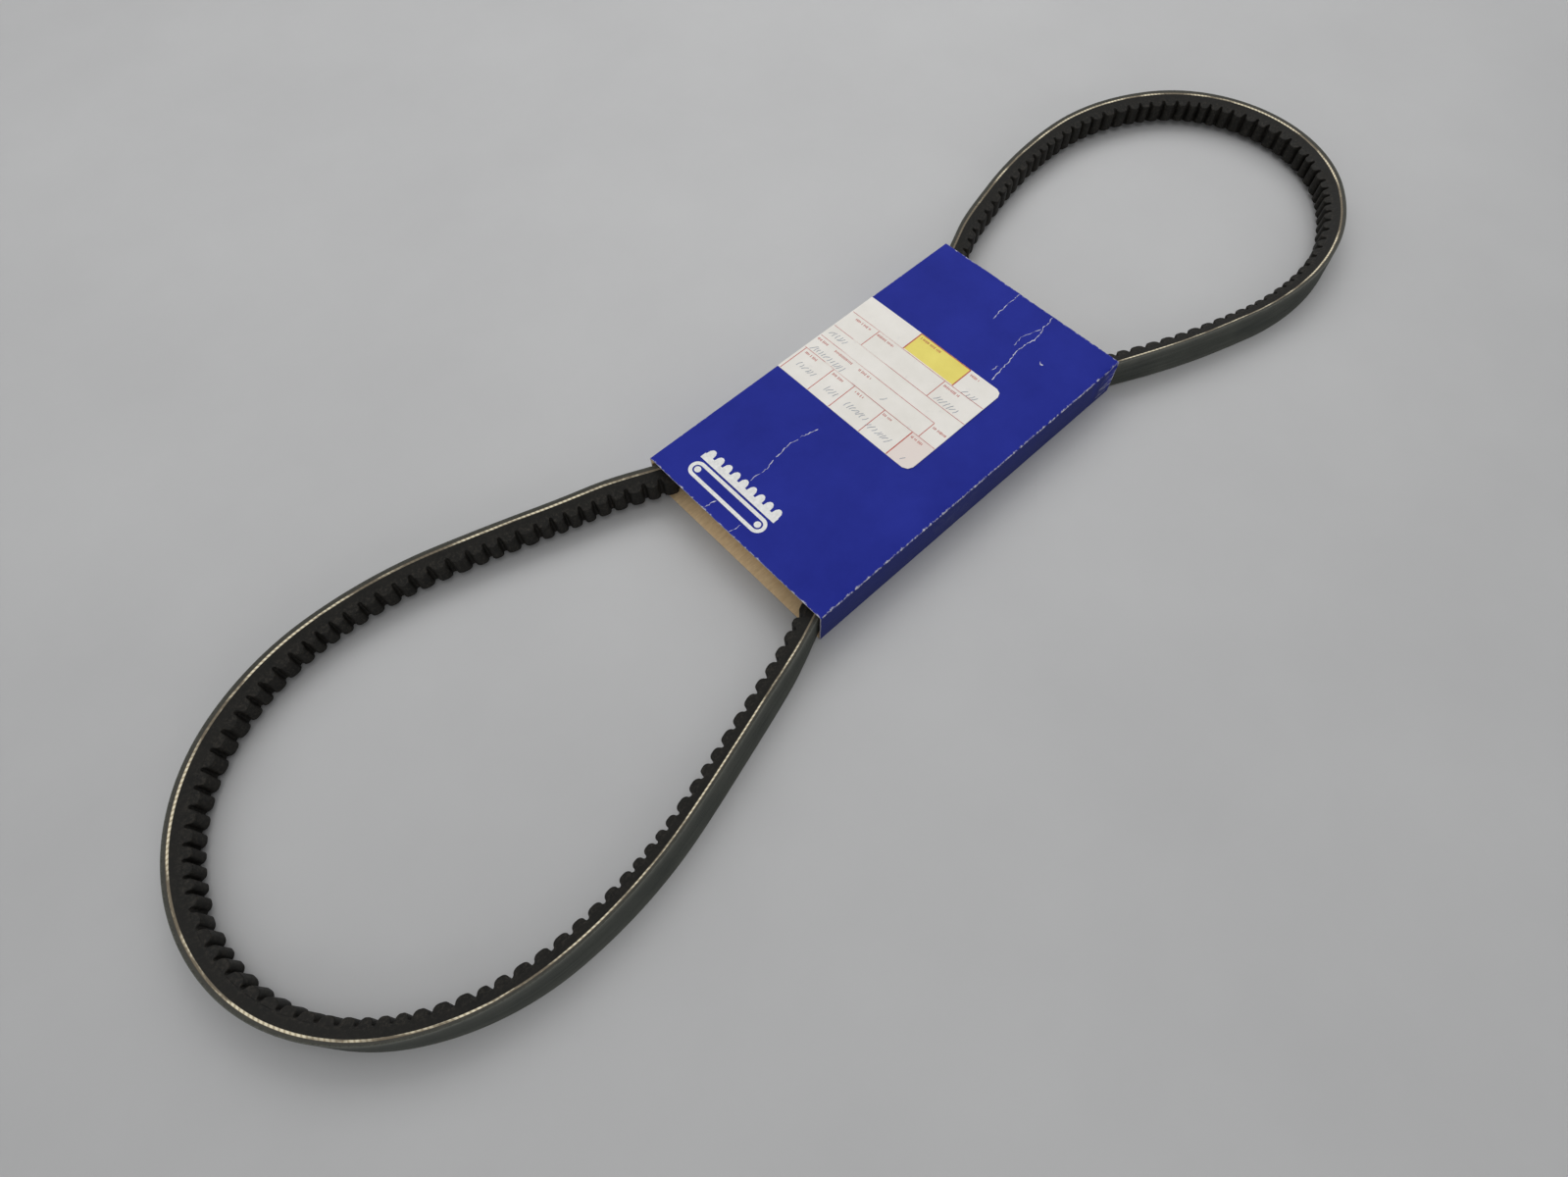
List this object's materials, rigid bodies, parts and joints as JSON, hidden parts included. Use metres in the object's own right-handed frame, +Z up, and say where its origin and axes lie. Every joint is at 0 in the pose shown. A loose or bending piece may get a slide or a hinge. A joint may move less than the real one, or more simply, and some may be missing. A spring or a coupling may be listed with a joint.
{
  "type": "cogged v-belt in a card sleeve",
  "caption": "Raw-edge cogged V-belt lying on its side as a long two-lobed loop, held at its waist by a flat folded card sleeve with a blank paper label.",
  "frame": {"origin": "middle of the sleeve's underside, on the surface that it rests on", "axes": "+Z up, +X along the sleeve towards the small loop, +Y towards the sleeve's far wall"},
  "size_m": [0.545, 0.1516, 0.0169],
  "materials": {
    "back_cloth": "fine woven back cloth, rubbed with rubber, matt",
    "belt_rubber": "moulded and ground black rubber, matt",
    "cord_yarn": "cream polyester cord, cut on the belt's two raw sides",
    "printed_card": "blue printed outside with a satin varnish, bare brown card inside",
    "label_paper": "off-white uncoated paper with ruled boxes"
  },
  "bodies": {
    "belt_waist": {"near_strand_back_cloth": "back_cloth", "near_strand_cushion_rubber": "belt_rubber", "near_strand_tension_cords": "cord_yarn", "near_strand_cogged_rubber": "belt_rubber", "far_strand_back_cloth": "back_cloth", "far_strand_cushion_rubber": "belt_rubber", "far_strand_tension_cords": "cord_yarn", "far_strand_cogged_rubber": "belt_rubber"},
    "small_loop_near_shoulder": {"small_loop_near_shoulder_back_cloth": "back_cloth", "small_loop_near_shoulder_cushion_rubber": "belt_rubber", "small_loop_near_shoulder_tension_cords": "cord_yarn", "small_loop_near_shoulder_cogged_rubber": "belt_rubber"},
    "small_loop_near_side": {"small_loop_near_side_back_cloth": "back_cloth", "small_loop_near_side_cushion_rubber": "belt_rubber", "small_loop_near_side_tension_cords": "cord_yarn", "small_loop_near_side_cogged_rubber": "belt_rubber"},
    "small_loop_tip": {"small_loop_tip_back_cloth": "back_cloth", "small_loop_tip_cushion_rubber": "belt_rubber", "small_loop_tip_tension_cords": "cord_yarn", "small_loop_tip_cogged_rubber": "belt_rubber"},
    "small_loop_far_side": {"small_loop_far_side_back_cloth": "back_cloth", "small_loop_far_side_cushion_rubber": "belt_rubber", "small_loop_far_side_tension_cords": "cord_yarn", "small_loop_far_side_cogged_rubber": "belt_rubber"},
    "small_loop_far_shoulder": {"small_loop_far_shoulder_back_cloth": "back_cloth", "small_loop_far_shoulder_cushion_rubber": "belt_rubber", "small_loop_far_shoulder_tension_cords": "cord_yarn", "small_loop_far_shoulder_cogged_rubber": "belt_rubber"},
    "big_loop_near_shoulder": {"big_loop_near_shoulder_back_cloth": "back_cloth", "big_loop_near_shoulder_cushion_rubber": "belt_rubber", "big_loop_near_shoulder_tension_cords": "cord_yarn", "big_loop_near_shoulder_cogged_rubber": "belt_rubber"},
    "big_loop_near_side": {"big_loop_near_side_back_cloth": "back_cloth", "big_loop_near_side_cushion_rubber": "belt_rubber", "big_loop_near_side_tension_cords": "cord_yarn", "big_loop_near_side_cogged_rubber": "belt_rubber"},
    "big_loop_tip": {"big_loop_tip_back_cloth": "back_cloth", "big_loop_tip_cushion_rubber": "belt_rubber", "big_loop_tip_tension_cords": "cord_yarn", "big_loop_tip_cogged_rubber": "belt_rubber"},
    "big_loop_far_side": {"big_loop_far_side_back_cloth": "back_cloth", "big_loop_far_side_cushion_rubber": "belt_rubber", "big_loop_far_side_tension_cords": "cord_yarn", "big_loop_far_side_cogged_rubber": "belt_rubber"},
    "big_loop_far_shoulder": {"big_loop_far_shoulder_back_cloth": "back_cloth", "big_loop_far_shoulder_cushion_rubber": "belt_rubber", "big_loop_far_shoulder_tension_cords": "cord_yarn", "big_loop_far_shoulder_cogged_rubber": "belt_rubber"},
    "sleeve": {"sleeve_top_panel": "printed_card", "sleeve_bottom_panel": "printed_card", "sleeve_near_wall": "printed_card", "sleeve_far_wall": "printed_card", "sleeve_glue_flap": "printed_card", "paper_label": "label_paper"}
  },
  "joints": [
    {"name": "sleeve_slide", "type": "slide", "parent": "belt_waist", "child": "sleeve", "axis": [1, 0, 0], "range_m": [-0.002, 0.002]},
    {"name": "big_loop_flex", "type": "hinge", "parent": "belt_waist", "child": "big_loop_near_shoulder", "pos_m": [-0.0922, -0.04556, 0.0071], "axis": [0, 0, 1], "range_deg": [-4, 4], "stiffness_Nm_per_rad": 0.05},
    {"name": "big_loop_near_side_bend", "type": "hinge", "parent": "big_loop_near_shoulder", "child": "big_loop_near_side", "pos_m": [-0.18263, -0.07092, 0.0071], "axis": [0, 0, 1], "range_deg": [-9.19, 9.19]},
    {"name": "big_loop_near_tip_bend", "type": "hinge", "parent": "big_loop_near_side", "child": "big_loop_tip", "pos_m": [-0.25489, -0.05455, 0.0071], "axis": [0, 0, 1], "range_deg": [-5.11, 5.11]},
    {"name": "big_loop_far_shoulder_bend", "type": "hinge", "parent": "belt_waist", "child": "big_loop_far_shoulder", "pos_m": [-0.09359, 0.04611, 0.0071], "axis": [0, 0, 1], "range_deg": [-4.19, 4.19]},
    {"name": "big_loop_far_side_bend", "type": "hinge", "parent": "big_loop_far_shoulder", "child": "big_loop_far_side", "pos_m": [-0.18436, 0.07342, 0.0071], "axis": [0, 0, 1], "range_deg": [-9.59, 9.59]},
    {"name": "small_loop_flex", "type": "hinge", "parent": "belt_waist", "child": "small_loop_near_shoulder", "pos_m": [0.09233, -0.04568, 0.0071], "axis": [0, 0, 1], "range_deg": [-4, 4], "stiffness_Nm_per_rad": 0.05},
    {"name": "small_loop_near_side_bend", "type": "hinge", "parent": "small_loop_near_shoulder", "child": "small_loop_near_side", "pos_m": [0.1626, -0.0702, 0.0071], "axis": [0, 0, 1], "range_deg": [-8.23, 8.23]},
    {"name": "small_loop_near_tip_bend", "type": "hinge", "parent": "small_loop_near_side", "child": "small_loop_tip", "pos_m": [0.23161, -0.05063, 0.0071], "axis": [0, 0, 1], "range_deg": [-4.15, 4.15]},
    {"name": "small_loop_far_shoulder_bend", "type": "hinge", "parent": "belt_waist", "child": "small_loop_far_shoulder", "pos_m": [0.09338, 0.04607, 0.0071], "axis": [0, 0, 1], "range_deg": [-4.99, 4.99]},
    {"name": "small_loop_far_side_bend", "type": "hinge", "parent": "small_loop_far_shoulder", "child": "small_loop_far_side", "pos_m": [0.16229, 0.06351, 0.0071], "axis": [0, 0, 1], "range_deg": [-9.82, 9.82]}
  ],
  "couplings": [
    {"joint": "big_loop_near_side_bend", "follows": "big_loop_flex", "ratio": -2.2515},
    {"joint": "big_loop_near_tip_bend", "follows": "big_loop_flex", "ratio": 1.2515},
    {"joint": "big_loop_far_shoulder_bend", "follows": "big_loop_flex", "ratio": -1.0278},
    {"joint": "big_loop_far_side_bend", "follows": "big_loop_flex", "ratio": 2.351},
    {"joint": "small_loop_near_side_bend", "follows": "small_loop_flex", "ratio": -2.0183},
    {"joint": "small_loop_near_tip_bend", "follows": "small_loop_flex", "ratio": 1.0183},
    {"joint": "small_loop_far_shoulder_bend", "follows": "small_loop_flex", "ratio": -1.2226},
    {"joint": "small_loop_far_side_bend", "follows": "small_loop_flex", "ratio": 2.4063}
  ]
}
